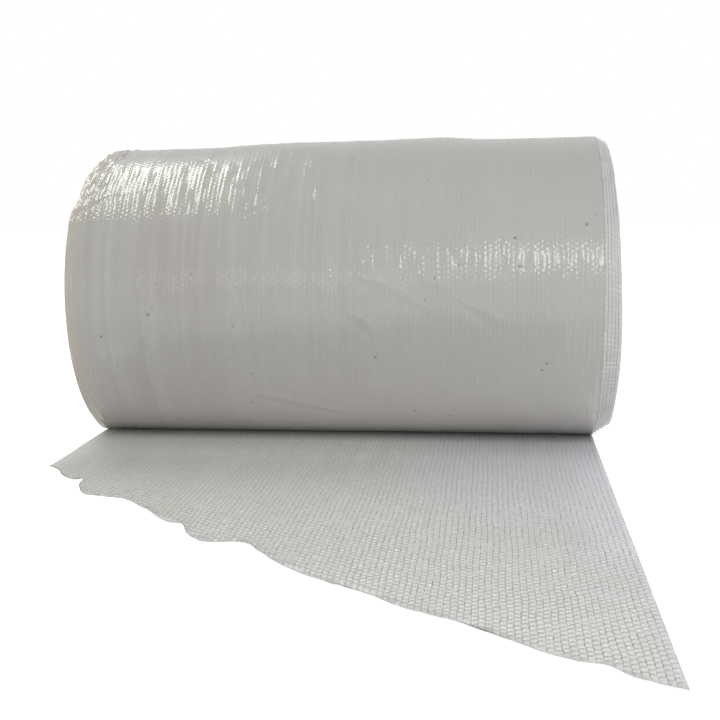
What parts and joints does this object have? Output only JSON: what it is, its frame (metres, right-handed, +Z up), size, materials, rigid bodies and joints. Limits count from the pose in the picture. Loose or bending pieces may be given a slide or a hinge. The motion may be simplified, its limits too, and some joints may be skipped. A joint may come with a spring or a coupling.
{
  "type": "bubble wrap roll",
  "caption": "Wide roll of bubble wrap lying on its side, wound on no core, with its rough-cut free end run out over the floor.",
  "frame": {"origin": "on the floor, on the roll's flat spot, straight below the middle of the roll's axis", "axes": "+X along the roll towards the end where the turns step out, +Y away from the free end, +Z up"},
  "size_m": [1.2489, 1.927, 0.716],
  "materials": {
    "bubble_film": "glossy translucent film"
  },
  "bodies": {
    "root": {"bubble_wrap": "bubble_film"}
  },
  "joints": []
}
